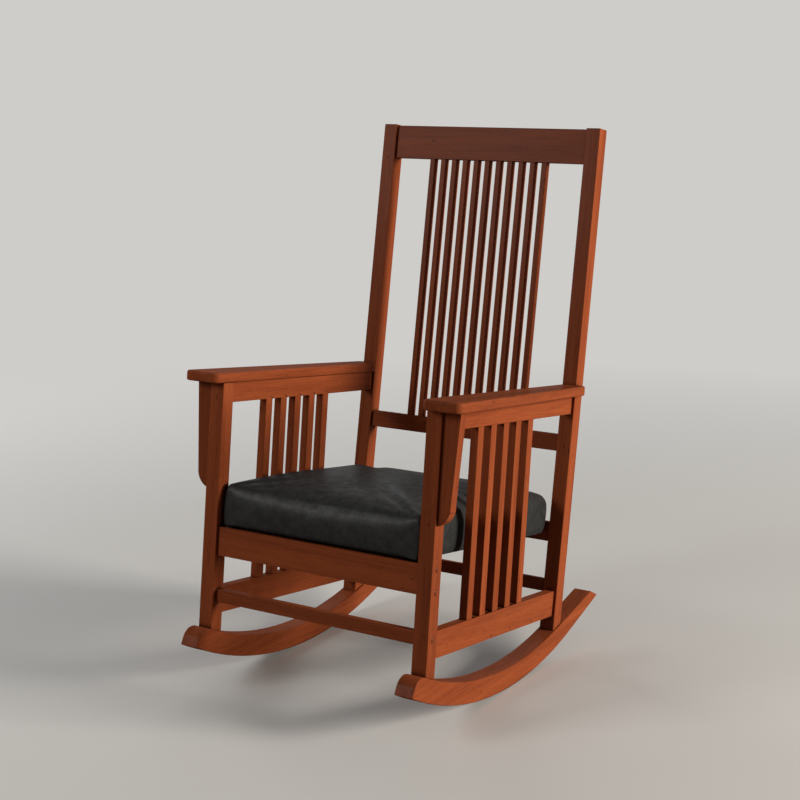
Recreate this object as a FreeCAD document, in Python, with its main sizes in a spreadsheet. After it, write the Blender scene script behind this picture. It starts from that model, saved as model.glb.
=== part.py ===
import FreeCAD, Part
import math
import os
import re

# A mission-style rocking chair: four square posts on two sawn rockers, slatted sides and back, flat arms
# on corbels, and an upholstered seat on a plywood board. Lengths are in millimetres, angles in degrees.
# Every piece is drawn in the chair's own frame, where the rails lie level, X runs to the sitter's left,
# Y runs back and the rockers' underside is lowest at the origin. Each finished piece is then tipped back
# about the rockers' centre by the rest tilt, which puts the origin on the floor under the contact line.

SIZES = {
    "post": (32, "side of the square posts"),
    "seat_opening": (464, "clear width between left and right posts"),
    "front_reach": (251.5, "rocker centre to the front posts' front faces"),
    "rear_reach": (258.5, "rocker centre to the rear posts' front faces, at foot height"),
    "foot_height": (86, "height at which the rear posts' lean starts to count"),
    "back_length": (1042, "rear post from foot height to its top, along its lean"),
    "back_lean": (3.3, "lean of the rear posts against the front posts"),
    "rest_tilt": (6.5, "how far the whole chair tips back when it stands empty"),
    "joint_gap": (0.15, "room round a tenon, slat end, dowel, bolt or curved foot"),
    "rail_thickness": (20, "thickness of the rails and the corbels"),
    "arm_underside": (575, "height of the arms' undersides and the front posts' tops"),
    "arm_rail_height": (40, "depth of the rail under each arm"),
    "side_rail_bottom": (114, "height of the lower side rails' undersides"),
    "side_rail_height": (52, "depth of the lower side rails"),
    "front_rail_bottom": (234.5, "height of the front seat rail's underside"),
    "front_rail_height": (57, "depth of the front seat rail"),
    "stretcher_thickness": (15, "thickness of the two stretchers"),
    "stretcher_height": (26, "depth of the two stretchers"),
    "front_stretcher_bottom": (141, "height of the front stretcher's underside"),
    "rear_stretcher_rise": (74.5, "rear stretcher's underside, up the rear posts from foot height"),
    "rear_rail_rise": (180, "rear seat rail's underside, up the rear posts"),
    "rear_rail_height": (40, "depth of the rear seat rail"),
    "lower_back_rise": (369.5, "lower back rail's underside, up the rear posts"),
    "lower_back_height": (35, "depth of the lower back rail"),
    "crest_height": (71, "depth of the crest rail"),
    "crest_drop": (2, "step from the rear posts' tops down to the crest rail"),
    "side_tenon": (12, "length of the side and arm rails' tenons"),
    "back_tenon": (20, "length of the back rails' tenons"),
    "tenon_thickness": (10, "thickness of every tenon"),
    "tenon_shoulder": (6, "step from a rail's edge to its tenon"),
    "slat_housing": (10, "how far a slat's end goes into its rail"),
    "back_slat_count": (11, "number of back slats"),
    "back_slat_width": (12, "back slat across the chair"),
    "back_slat_depth": (15, "back slat from front to back"),
    "back_slat_pitch": (27.4, "back slat to back slat"),
    "side_slat_count": (5, "number of slats in each side"),
    "side_slat_width": (21, "side slat along the chair"),
    "side_slat_thickness": (17, "side slat across the chair"),
    "side_slat_pitch": (50, "side slat to side slat"),
    "side_slat_centre": (10.5, "middle side slat behind the rocker centre"),
    "slat_relief": (6, "height of the half-round relief over each side slat"),
    "slat_relief_depth": (3, "how far the relief is cut into the arm rail"),
    "arm_thickness": (20, "thickness of the arms"),
    "arm_front_width": (82, "width of an arm at its front end"),
    "arm_rear_width": (50, "width of an arm at its rear end"),
    "arm_overhang": (24, "how far an arm runs past the front post"),
    "arm_lap": (15, "how far an arm's outer strip runs past the rear post's front face"),
    "arm_corner_radius": (14, "rounding of the arm's corners in plan"),
    "arm_edge_radius": (4, "rounding of the arm's edges"),
    "corbel_top_width": (36, "corbel's width under the arm"),
    "corbel_foot_width": (26, "corbel's width above its rounded foot"),
    "corbel_length": (210, "height of the corbel"),
    "corbel_foot_radius": (35, "radius of the corbel's rounded foot"),
    "rocker_width": (40, "thickness of the boards that the rockers are sawn from"),
    "rocker_radius": (790, "radius of the rockers' underside"),
    "rocker_top_radius": (785, "radius of the rockers' top"),
    "rocker_top_offset": (9, "rocker centre to the middle of the top's arc"),
    "rocker_depth": (42.8, "height of the rockers' top where it is lowest"),
    "rocker_front": (300, "rocker centre to the front tip"),
    "rocker_rear": (455, "rocker centre to the rear tip"),
    "rocker_tail_start": (25, "angle up the arc at which the underside runs on straight to the rear tip"),
    "rocker_top_tail_start": (19.8, "angle up the arc at which the top runs on straight to the rear end"),
    "rocker_nose_lean": (22, "how far the front end leans back from upright"),
    "rocker_nose_radius": (28, "rounding over the front end"),
    "rocker_tail_lean": (69, "how far the rear end leans forward from upright"),
    "seat_slope": (1.5, "how far the seat slopes down to the back, against the rails"),
    "cushion_gap": (4, "room between the cushion and each post"),
    "cushion_setback": (7, "cushion's front behind the front posts' front faces"),
    "cushion_rear_gap": (3, "room between the cushion and the rear seat rail"),
    "cushion_height": (84, "height of the cushion's edge over its underside"),
    "cushion_crown": (22, "rise of the crown above the cushion's edge"),
    "cushion_tuck": (5, "how far the cushion draws in where it meets the rail"),
    "cushion_belly": (30, "height over its underside at which the cushion is fullest"),
    "cushion_edge_radius": (20, "rounding of the cushion's top edge in front and at the sides"),
    "cushion_rear_radius": (50, "rounding of the cushion's top edge at the back"),
    "cushion_corner_radius": (5, "rounding of the cushion's corners in plan"),
    "soft_gap": (0.3, "room round soft pieces"),
    "cover_thickness": (1.4, "thickness of the seat cover"),
    "cover_hem": (50, "width of the cover's hem under the board"),
    "board_thickness": (15, "thickness of the plywood seat board"),
    "board_inset": (4, "room between the board's edge and the cover's inside"),
    "dust_cover_thickness": (0.8, "thickness of the cloth under the seat"),
    "dust_cover_inset": (20, "cushion's side to the edge of the cloth under it"),
    "cleat_thickness": (20, "thickness of the two strips that carry the seat"),
    "cleat_height": (15, "depth of those strips"),
    "cleat_rise": (2, "how far the front strip stands above the front rail"),
    "front_cleat_end_gap": (4, "room between the front strip's end and the post"),
    "rear_cleat_end_gap": (50, "room between the rear strip's end and the post"),
    "cap_radius": (6, "radius of the bolt caps and their counterbores"),
    "cap_depth": (6, "depth of the counterbores in the front posts"),
    "cap_dome": (2.2, "height of a cap's dome"),
    "bolt_radius": (3, "radius of the bolts' shanks"),
    "bolt_head_radius": (4.6, "radius of the bolts' heads"),
    "bolt_head_height": (3.5, "height of the bolts' heads"),
    "bolt_grip": (46, "how far a connector bolt goes into its rail"),
    "bolt_row": (42.8, "distance between the two bolts of a seat rail end"),
    "nut_radius": (5, "radius of the barrel nuts"),
    "nut_set_in": (32, "rail's end to the barrel nut's middle"),
    "nut_cover": (2, "wood left over each end of a barrel nut"),
    "insert_radius": (5, "radius of the threaded inserts in the feet"),
    "insert_length": (20, "length of the threaded inserts"),
    "insert_recess": (2, "foot's end to the insert"),
    "rocker_bolt_recess": (14, "rocker's underside to the bearing face of the bolt's head"),
    "dowel_radius": (4, "radius of the dowels"),
    "dowel_half": (13, "half the length of a dowel"),
    "arm_dowel_setback": (13, "front post's front face to the arm dowel"),
    "corbel_dowel_drop": (45, "arm's underside to the upper corbel dowel"),
    "corbel_dowel_row": (85, "upper corbel dowel to the lower one"),
    "screw_radius": (2, "radius of the wood screws' shanks"),
    "screw_head_radius": (4, "radius of the wood screws' heads"),
    "screw_head_height": (2.6, "height of the wood screws' heads"),
    "screw_length": (34, "length of a wood screw under its head"),
    "arm_screw_recess": (18, "arm rail's underside to the head of an arm screw"),
    "cleat_screw_recess": (2.8, "strip's face to the head of its screw"),
    "cleat_screw_length": (30, "length of the screws that hold the strips"),
    "seat_screw_recess": (1, "strip's underside to the head of a seat screw"),
    "seat_screw_length": (24, "length of the screws that hold the seat"),
    "seat_screw_spread": (150, "chair's middle to each seat screw"),
    "cleat_screw_spread": (165, "chair's middle to the outer screws of each strip"),
}

doc = FreeCAD.newDocument("rocking_chair")
sheet = doc.addObject("Spreadsheet::Sheet", "Sizes")
for row, (alias, (number, meaning)) in enumerate(SIZES.items(), start=1):
    sheet.set(f"A{row}", meaning)
    sheet.set(f"B{row}", str(number))
    sheet.setAlias(f"B{row}", alias)
doc.recompute()

# Places that many pieces share, as formulas in the sizes.
PLACES = {
    "lean": "back_lean * 1deg",
    "tilt": "rest_tilt * 1deg",
    "half": "seat_opening / 2",
    "outer": "seat_opening / 2 + post",
    "post_middle": "seat_opening / 2 + post / 2",
    "rail_inset": "(post - rail_thickness) / 2",
    "stretcher_inset": "(post - stretcher_thickness) / 2",
    "front_middle": "post / 2 - front_reach",
    "front_back": "post - front_reach",
    "side_rail_top": "side_rail_bottom + side_rail_height",
    "arm_rail_bottom": "arm_underside - arm_rail_height",
    "front_rail_top": "front_rail_bottom + front_rail_height",
    "front_rail_back": "rail_inset + rail_thickness - front_reach",
    "lower_back_top": "lower_back_rise + lower_back_height",
    "crest_bottom": "back_length - crest_drop - crest_height",
    "rocker_top_centre": "rocker_depth + rocker_top_radius",
    "cushion_front": "cushion_setback - front_reach",
    "cushion_side": "half - cushion_gap",
    "slope": "seat_slope * 1deg",
    "strip_top": "front_rail_top + cleat_rise",
    "strip_back": "front_rail_back + cleat_thickness",
}

finished = []


def link(formula):
    """Turns the size names in a formula into cells of the sheet, and the place names into their formulas."""
    def swap(match):
        word = match.group(0)
        if word in PLACES:
            return "(" + link(PLACES[word]) + ")"
        return "Sizes." + word if word in SIZES else word
    return re.sub(r"[a-z][a-z_]*", swap, str(formula))


def size(formula):
    """The number that a formula gives, for counts and for forms drawn in code."""
    return float(sheet.evalExpression(link(formula)))


def rear_face(height):
    """Front face of the rear posts at a height."""
    return f"(rear_reach + (({height}) - foot_height) * tan(lean))"


def rocker_top(y):
    """Height of the rockers' top at a place along the chair."""
    return f"(rocker_top_centre - sqrt(rocker_top_radius ^ 2 - (({y}) - rocker_top_offset) ^ 2))"


def rocker_bottom(y):
    """Height of the rockers' underside at a place along the chair."""
    return f"(rocker_radius - sqrt(rocker_radius ^ 2 - ({y}) ^ 2))"


def on_side(side, near, width):
    """Lower X of a piece that starts at near, counted outwards from the chair's middle, on one side."""
    return f"{near}" if side > 0 else f"-(({near}) + ({width}))"


def leaning(origin, lean, x, depth, rise):
    """A point given by depth and rise in a frame that leans back about its origin."""
    y = f"({origin[0]}) + ({depth}) * cos({lean}) + ({rise}) * sin({lean})"
    z = f"({origin[1]}) - ({depth}) * sin({lean}) + ({rise}) * cos({lean})"
    return x, y, z


def on_back(x, depth, rise):
    """A point given by its depth behind the rear posts' front faces and its rise up them."""
    return leaning(("rear_reach", "foot_height"), "lean", x, depth, rise)


def tipped(point):
    """Where a point of the chair's own frame stands once the chair is tipped back on its rockers."""
    x, y, z = point
    below = f"(({z}) - rocker_radius)"
    return (x, f"({y}) * cos(tilt) + {below} * sin(tilt)",
            f"rocker_radius + {below} * cos(tilt) - ({y}) * sin(tilt)")


def put(feature, point, turn=None, axis=(1, 0, 0)):
    """Binds a feature's place, and its turn about an axis if it has one."""
    if turn is not None:
        attitude = FreeCAD.Rotation(FreeCAD.Vector(*axis), 1)
        feature.Placement = FreeCAD.Placement(FreeCAD.Vector(), attitude)
        feature.setExpression("Placement.Rotation.Angle", link(turn))
    for letter, formula in zip("xyz", point):
        feature.setExpression(f"Placement.Base.{letter}", link(formula))
    return feature


def block(corner, extent, turn=None):
    """A rectangular block from its lowest corner."""
    feature = doc.addObject("Part::Box", "Block")
    for name, formula in zip(("Length", "Width", "Height"), extent):
        feature.setExpression(name, link(formula))
    return put(feature, corner, turn)


def back_block(corner, extent):
    """A block in the leaning frame of the rear posts."""
    return block(on_back(*corner), extent, "-back_lean")


def rod(axis, start, radius, length):
    """A round bar along an axis of the chair, or along or through the leaning rear posts."""
    feature = doc.addObject("Part::Cylinder", "Rod")
    feature.setExpression("Radius", link(radius))
    feature.setExpression("Height", link(length))
    if axis == "x":
        return put(feature, start, "90", (0, 1, 0))
    turns = {"y": "-90", "-y": "90", "z": None, "rise": "-back_lean", "depth": "-90 - back_lean"}
    return put(feature, start, turns[axis])


def fuse(pieces):
    """One shape from several that touch or overlap."""
    if len(pieces) == 1:
        return pieces[0]
    feature = doc.addObject("Part::MultiFuse", "Fuse")
    feature.Shapes = pieces
    return feature


def cut(base, tools):
    """A piece less its holes, mortises and trimmed ends."""
    feature = doc.addObject("Part::Cut", "Cut")
    feature.Base = base
    feature.Tool = fuse(tools)
    return feature


def common(base, bound):
    """The part of a piece that lies within a bound."""
    feature = doc.addObject("Part::Common", "Common")
    feature.Base = base
    feature.Tool = bound
    return feature


def rounded(base, radius, chosen):
    """A piece with some of its edges rounded."""
    doc.recompute()
    feature = doc.addObject("Part::Fillet", "Rounded")
    feature.Base = base
    numbers = [number for number, edge in enumerate(base.Shape.Edges, start=1) if chosen(edge)]
    feature.Edges = [(number, radius, radius) for number in numbers]
    return feature


def finish(label, feature):
    """Names a piece drawn in the chair's own frame and tips it back with the chair."""
    feature.Label = label
    put(feature, tipped(("0", "0", "0")), "-rest_tilt")
    finished.append(feature)


def finish_block(label, corner, extent, lean="0"):
    """A plain block as a finished piece."""
    feature = block(tipped(corner), extent, f"-rest_tilt - {lean}")
    feature.Label = label
    finished.append(feature)


def finish_group(label, pieces):
    """Like fasteners, each a solid of its own, as one finished group."""
    feature = doc.addObject("Part::Compound", "Group")
    feature.Links = pieces
    finish(label, feature)


SIDES = {"left": 1, "right": -1}

# Joints: each function gives the solid that one piece holds and, grown by the joint gap, the room cut for it.


def side_tenons(side, bottom, top, grow="0"):
    """Tenons of a side or arm rail in the front post and in the rear post."""
    width = f"tenon_thickness + 2 * ({grow})"
    x = on_side(side, f"post_middle - tenon_thickness / 2 - ({grow})", width)
    low = f"({bottom}) + tenon_shoulder - ({grow})"
    height = f"({top}) - ({bottom}) - 2 * tenon_shoulder + 2 * ({grow})"
    length = f"side_tenon + rail_thickness + ({grow})"
    middle = rear_face(f"(({bottom}) + ({top})) / 2")
    front = block((x, f"front_back - side_tenon - ({grow})", low), (width, length, height))
    rear = block((x, f"{middle} - rail_thickness", low), (width, length, height))
    return front, rear


def back_tenons(bottom, height, grow="0"):
    """Both tenons of a rail between the rear posts, as one bar through the rail."""
    reach = f"(half + back_tenon + ({grow}))"
    depth = f"(post - tenon_thickness) / 2 - ({grow})"
    low = f"{bottom} + tenon_shoulder - ({grow})"
    tall = f"{height} - 2 * tenon_shoulder + 2 * ({grow})"
    return back_block((f"-{reach}", depth, low), (f"2 * {reach}", f"tenon_thickness + 2 * ({grow})", tall))


def side_slat(side, number, grow, end):
    """Corner and extent of a side slat, grown sideways and lengthened at each end."""
    offset = number - (size("side_slat_count") - 1) / 2
    thickness = f"side_slat_thickness + 2 * ({grow})"
    x = on_side(side, f"post_middle - side_slat_thickness / 2 - ({grow})", thickness)
    y = f"side_slat_centre + {offset} * side_slat_pitch - side_slat_width / 2 - ({grow})"
    z = f"side_rail_top - slat_housing - ({end})"
    height = f"arm_rail_bottom - side_rail_top + 2 * slat_housing + 2 * ({end})"
    return (x, y, z), (thickness, f"side_slat_width + 2 * ({grow})", height)


def back_slat(number, grow, end):
    """Corner and extent of a back slat in the leaning frame, grown sideways and lengthened at each end."""
    offset = number - (size("back_slat_count") - 1) / 2
    x = f"{offset} * back_slat_pitch - back_slat_width / 2 - ({grow})"
    depth = f"(post - back_slat_depth) / 2 - ({grow})"
    rise = f"lower_back_top - slat_housing - ({end})"
    height = f"crest_bottom - lower_back_top + 2 * slat_housing + 2 * ({end})"
    return (x, depth, rise), (f"back_slat_width + 2 * ({grow})", f"back_slat_depth + 2 * ({grow})", height)


SIDE_RAILS = {
    "side_rail": ("side_rail_bottom", "side_rail_top"),
    "arm_rail": ("arm_rail_bottom", "arm_underside"),
}
BACK_RAILS = {
    "rear_stretcher": ("rear_stretcher_rise", "stretcher_height", "stretcher_thickness"),
    "rear_seat_rail": ("rear_rail_rise", "rear_rail_height", "rail_thickness"),
    "lower_back_rail": ("lower_back_rise", "lower_back_height", "rail_thickness"),
    "crest_rail": ("crest_bottom", "crest_height", "rail_thickness"),
}
SIDE_SLATS = range(int(size("side_slat_count")))
BACK_SLATS = range(int(size("back_slat_count")))
FRONT_BOLT_HEIGHTS = {
    "front_seat_rail": ["front_rail_bottom + front_rail_height / 2 - bolt_row / 2",
                        "front_rail_bottom + front_rail_height / 2 + bolt_row / 2"],
    "front_stretcher": ["front_stretcher_bottom + stretcher_height / 2"],
}
ALL_FRONT_BOLTS = FRONT_BOLT_HEIGHTS["front_seat_rail"] + FRONT_BOLT_HEIGHTS["front_stretcher"]
UPPER_CORBEL_DOWEL = "arm_underside - corbel_dowel_drop"
CORBEL_DOWEL_HEIGHTS = [UPPER_CORBEL_DOWEL, f"{UPPER_CORBEL_DOWEL} - corbel_dowel_row"]
CLEAT_SCREW_PLACES = ["-cleat_screw_spread", "0", "cleat_screw_spread"]
SEAT_SCREW_PLACES = ["-seat_screw_spread", "seat_screw_spread"]

# The arm screws stand midway between each end slat and its neighbour.
END_GAP = "(side_slat_count / 2 - 1) * side_slat_pitch"
ARM_SCREW_PLACES = [f"side_slat_centre - {END_GAP}", f"side_slat_centre + {END_GAP}"]


def foot_rod(side, rear, radius, start, length):
    """A round bar along a post's axis, counted from the rocker's top under that post."""
    x = on_side(side, "post_middle", "0")
    if rear:
        middle = "(rear_reach + post / 2 * cos(lean))"
        foot = f"(({rocker_top(middle)} - foot_height + post / 2 * sin(lean)) / cos(lean))"
        return rod("rise", on_back(x, "post / 2", f"{foot} + ({start})"), radius, length)
    return rod("z", (x, "front_middle", f"{rocker_top('front_middle')} + ({start})"), radius, length)


def bolt_bearing(rear):
    """Bearing face of a rocker bolt's head, counted from the rocker's top."""
    middle = "(rear_reach + post / 2)" if rear else "front_middle"
    return f"(rocker_bolt_recess - {rocker_top(middle)} + {rocker_bottom(middle)})"


def corbel_dowel(side, height, grow):
    """A dowel between a corbel and its post."""
    length = f"2 * (dowel_half + ({grow}))"
    x = on_side(side, f"outer - dowel_half - ({grow})", length)
    return rod("x", (x, "front_middle", height), f"dowel_radius + ({grow})", length)


def arm_dowel(side, grow):
    """The dowel that stands in a front post's top and holds the arm."""
    start = f"arm_underside - dowel_half - ({grow})"
    return rod("z", (on_side(side, "post_middle", "0"), "arm_dowel_setback - front_reach", start),
               f"dowel_radius + ({grow})", f"2 * (dowel_half + ({grow}))")


def screw(axis, start, length, forward):
    """A wood screw: its head, then its shank along an axis; start is the head's bearing face."""
    back = [f"({part}) - ({step}) * screw_head_height" for part, step in zip(start, forward)]
    head = rod(axis, back, "screw_head_radius", "screw_head_height")
    return fuse([head, rod(axis, start, "screw_radius", length)])


def screw_room(axis, start, length, forward, recess):
    """The pilot and counterbore for a screw."""
    back = [f"({part}) - ({step}) * ({recess} + screw_head_height)" for part, step in zip(start, forward)]
    return [rod(axis, back, "screw_head_radius + joint_gap", f"{recess} + screw_head_height"),
            rod(axis, start, "screw_radius + joint_gap", f"{length} + joint_gap")]


def arm_screw_start(side, y):
    """Bearing face of an arm screw's head, up in the arm rail."""
    return on_side(side, "post_middle", "0"), y, "arm_rail_bottom + arm_screw_recess + screw_head_height"


def front_cleat_screw_start(x):
    """Bearing face of a screw from the front strip into the front seat rail."""
    return x, "strip_back - cleat_screw_recess - screw_head_height", "strip_top - cleat_height / 2"


# The seat rests on the front strip's rear edge and slopes from there to the strip on the rear seat rail.
REAR_RAIL_FACE = f"({rear_face('front_rail_bottom')} + rail_inset)"
REAR_STRIP_TOP = f"(strip_top - ({REAR_RAIL_FACE} - strip_back) * tan(slope))"
REAR_CLEAT_RISE = f"(({REAR_STRIP_TOP} - foot_height) / cos(lean) - cleat_height / 2)"


def rear_cleat_screw_start(x):
    """Bearing face of a screw from the rear strip into the rear seat rail."""
    depth = "rail_inset - cleat_thickness + cleat_screw_recess + screw_head_height"
    return on_back(x, depth, REAR_CLEAT_RISE)


def seat_screw_start(x, rear):
    """Bearing face of a screw from a strip up into the seat board."""
    under_head = "cleat_height - seat_screw_recess - screw_head_height"
    if rear:
        return x, f"{REAR_RAIL_FACE} - cleat_thickness / 2", f"{REAR_STRIP_TOP} - ({under_head})"
    return x, "strip_back - cleat_thickness / 2", f"strip_top - ({under_head})"


UP = (0, 0, 1)
TO_FRONT = (0, -1, 0)
TO_BACK = (0, "cos(lean)", "-sin(lean)")
ROCKER_TOP_AXIS = ("rocker_top_offset", "rocker_top_centre")
INSERT_ROOM = ("insert_radius + joint_gap", "-insert_length", "2 * insert_length + insert_recess")


def post_pieces(side, name):
    """One side of the chair: posts, rails, slats, arm, corbel and rocker."""
    post_x = on_side(side, "half", "post")

    # Front post: square, its foot cut to the rocker, mortised for the two side rails, drilled for the
    # connector bolts with a counterbore in its outer face for each cap.
    front = block((post_x, "-front_reach", "0"), ("post", "post", "arm_underside"))
    foot_bound = rod("x", (post_x, *ROCKER_TOP_AXIS), "rocker_top_radius - joint_gap", "post")
    room = [side_tenons(side, *SIDE_RAILS[rail], "joint_gap")[0] for rail in SIDE_RAILS]
    for height in ALL_FRONT_BOLTS:
        room.append(rod("x", (post_x, "front_middle", height), "bolt_radius + joint_gap", "post"))
        mouth = on_side(side, "outer - cap_depth", "cap_depth")
        room.append(rod("x", (mouth, "front_middle", height), "cap_radius + joint_gap", "cap_depth"))
    room += [corbel_dowel(side, height, "joint_gap") for height in CORBEL_DOWEL_HEIGHTS]
    room.append(arm_dowel(side, "joint_gap"))
    room.append(foot_rod(side, False, *INSERT_ROOM))
    finish(f"front_post_{name}", cut(common(front, foot_bound), room))

    # Rear post: one length from rocker to crest, leaning back, mortised for the side rails in front and for
    # the back rails on its inner face.
    rear = back_block((post_x, "0", "-post"), ("post", "post", "back_length + post"))
    foot_bound = rod("x", (post_x, *ROCKER_TOP_AXIS), "rocker_top_radius - joint_gap", "post")
    room = [side_tenons(side, *SIDE_RAILS[rail], "joint_gap")[1] for rail in SIDE_RAILS]
    room += [back_tenons(rise, height, "joint_gap") for rise, height, thickness in BACK_RAILS.values()]
    room.append(foot_rod(side, True, *INSERT_ROOM))
    finish(f"rear_post_{name}", cut(common(rear, foot_bound), room))

    # Side rails: a deep one low down and a shallower one under the arm, housed for the slats. Their rear ends
    # are trimmed to the leaning post.
    for rail, (bottom, top) in SIDE_RAILS.items():
        rail_x = on_side(side, "half + rail_inset", "rail_thickness")
        length = f"{rear_face(top)} + post - front_back"
        blank = block((rail_x, "front_back", bottom), ("rail_thickness", length, f"{top} - ({bottom})"))
        behind = back_block((post_x, "0", "-post"), ("post", "3 * post", "back_length + post"))
        whole = fuse([cut(blank, [behind]), *side_tenons(side, bottom, top)])
        room = [block(*side_slat(side, number, "joint_gap", "0")) for number in SIDE_SLATS]
        if rail == "arm_rail":
            for y in ARM_SCREW_PLACES:
                room += screw_room("z", arm_screw_start(side, y), "screw_length", UP, "arm_screw_recess")
            room += [slat_relief(side, number) for number in SIDE_SLATS]
        finish(f"{rail}_{name}", cut(whole, room))

    for number in SIDE_SLATS:
        finish_block(f"side_slat_{name}_{number + 1}", *side_slat(side, number, "0", "-joint_gap"))

    # Arm: a flat board, wide in front and narrow behind, with rounded corners and edges. Its inner edge is in
    # line with the posts' inner faces and its rear end is notched round the rear post.
    arm = doc.addObject("Part::Wedge", "ArmBoard")
    front_x = on_side(side, "half", "arm_front_width")
    rear_x = on_side(side, "half", "arm_rear_width")
    arm_rear = f"{rear_face('arm_underside')} + arm_lap"
    for prop, formula in {
        "Xmin": front_x, "Xmax": f"{front_x} + arm_front_width",
        "X2min": rear_x, "X2max": f"{rear_x} + arm_rear_width",
        "Ymin": "-front_reach - arm_overhang", "Ymax": arm_rear,
        "Zmin": "arm_underside", "Zmax": "arm_underside + arm_thickness",
        "Z2min": "arm_underside", "Z2max": "arm_underside + arm_thickness",
    }.items():
        arm.setExpression(prop, link(formula))
    corners = rounded(arm, size("arm_corner_radius"), is_open_corner)
    edges = rounded(corners, size("arm_edge_radius"), is_level)
    notch_x = on_side(side, "half - post", "2 * post + joint_gap")
    notch = back_block((notch_x, "-joint_gap", "0"), ("2 * post + joint_gap", "3 * post", "back_length"))
    room = [notch, arm_dowel(side, "joint_gap")]
    for y in ARM_SCREW_PLACES:
        room += screw_room("z", arm_screw_start(side, y), "screw_length", UP, "0")
    finish(f"arm_{name}", cut(edges, room))

    # Corbel: a bracket board on the post's outer face that widens up to the arm and ends in a rounded foot.
    corbel_front = "front_reach - rail_inset"
    board = doc.addObject("Part::Wedge", "CorbelBoard")
    foot_top = ("(arm_underside - corbel_length"
                " + sqrt(corbel_foot_radius ^ 2 - (corbel_foot_radius - corbel_foot_width) ^ 2))")
    low_x = on_side(side, "outer", "corbel_foot_width")
    high_x = on_side(side, "outer", "corbel_top_width")
    for prop, formula in {
        "Xmin": low_x, "Xmax": f"{low_x} + corbel_foot_width",
        "X2min": high_x, "X2max": f"{high_x} + corbel_top_width",
        "Ymin": foot_top, "Ymax": "arm_underside",
        "Zmin": f"{corbel_front} - rail_thickness", "Zmax": corbel_front,
        "Z2min": f"{corbel_front} - rail_thickness", "Z2max": corbel_front,
    }.items():
        board.setExpression(prop, link(formula))
    board.Placement.Rotation = FreeCAD.Rotation(FreeCAD.Vector(1, 0, 0), 90)
    foot_x = on_side(side, "outer + corbel_foot_width - corbel_foot_radius", "0")
    foot_round = rod("y", (foot_x, f"-({corbel_front})", foot_top), "corbel_foot_radius", "rail_thickness")
    foot_box = block((low_x, f"-({corbel_front})", f"{foot_top} - corbel_foot_radius"),
                     ("corbel_foot_width", "rail_thickness", "corbel_foot_radius"))
    room = [corbel_dowel(side, height, "joint_gap") for height in CORBEL_DOWEL_HEIGHTS]
    finish(f"corbel_{name}", cut(fuse([board, common(foot_round, foot_box)]), room))

    # Rocker: sawn from one board, its underside and top two different arcs that run on straight to the tail,
    # the front end rounded over and the rear end cut back under.
    rocker_x = on_side(side, "post_middle - rocker_width / 2", "rocker_width")
    under_tail = straight_run(rocker_x, ("0", "rocker_radius"), "rocker_radius", "rocker_tail_start")
    under_round = rod("x", (rocker_x, "0", "rocker_radius"), "rocker_radius", "rocker_width")
    under = fuse([under_round, under_tail])
    over = rod("x", (rocker_x, *ROCKER_TOP_AXIS), "rocker_top_radius", "rocker_width")
    over_tail = straight_run(rocker_x, ROCKER_TOP_AXIS, "rocker_top_radius", "rocker_top_tail_start")
    ample = "3 * rocker_radius"
    nose = ("-rocker_front", rocker_bottom("rocker_front"))
    nose_corner = leaning(nose, "rocker_nose_lean * 1deg", rocker_x, f"-({ample})", "-rocker_radius")
    nose_tool = block(nose_corner, ("rocker_width", ample, ample), "-rocker_nose_lean")
    tail_angle = "(rocker_tail_start * 1deg)"
    tail_rise = (f"rocker_radius * (1 - cos({tail_angle}))"
                 f" + (rocker_rear - rocker_radius * sin({tail_angle})) * tan({tail_angle})")
    tail = ("rocker_rear", tail_rise)
    tail_corner = leaning(tail, "-rocker_tail_lean * 1deg", rocker_x, "0", "-rocker_radius")
    tail_tool = block(tail_corner, ("rocker_width", ample, ample), "rocker_tail_lean")
    lune = cut(under, [over, over_tail, nose_tool, tail_tool])
    shaped = rounded(lune, size("rocker_nose_radius"), is_nose_top)
    # A counterbored bolt comes up through the rocker into each post.
    room = []
    for rear_end in (False, True):
        bearing = bolt_bearing(rear_end)
        head_start = f"{bearing} - 2 * rocker_depth"
        room.append(foot_rod(side, rear_end, "bolt_radius + joint_gap", head_start, "4 * rocker_depth"))
        room.append(foot_rod(side, rear_end, "bolt_head_radius + joint_gap", head_start, "2 * rocker_depth"))
    finish(f"rocker_{name}", cut(shaped, room))


def straight_run(x, centre, radius, start):
    """A block whose underside carries an arc on straight to the rear, from an angle up that arc."""
    angle = f"({start} * 1deg)"
    touch = (f"({centre[0]}) + {radius} * sin({angle})", f"({centre[1]}) - {radius} * cos({angle})")
    return block((x, *touch), ("rocker_width", "rocker_rear", "rocker_rear"), start)


def slat_relief(side, number):
    """The half-round relief in the arm rail's inner face over a side slat."""
    offset = number - (size("side_slat_count") - 1) / 2
    x = on_side(side, "half + rail_inset", "slat_relief_depth")
    y = f"side_slat_centre + {offset} * side_slat_pitch"
    return rod("x", (x, y, "arm_rail_bottom + slat_relief - side_slat_width / 2"), "side_slat_width / 2",
               "slat_relief_depth")


# Lengths nearer than this are taken as equal, in mm.
LENGTH_NOISE = 1e-6


def is_along(edge, axis):
    """Whether an edge is straight along one axis."""
    span = edge.BoundBox
    lengths = {"x": span.XLength, "y": span.YLength, "z": span.ZLength}
    return len(edge.Vertexes) == 2 and abs(lengths[axis] - edge.Length) < LENGTH_NOISE


def is_level(edge):
    """Whether an edge lies in a level plane."""
    return edge.BoundBox.ZLength < LENGTH_NOISE


def is_open_corner(edge):
    """Whether an edge of an arm is upright and not the inner rear one, where the rear post stands."""
    middle = edge.CenterOfMass
    at_post = middle.y > 0 and abs(middle.x) < size("outer")
    return is_along(edge, "z") and not at_post


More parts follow.
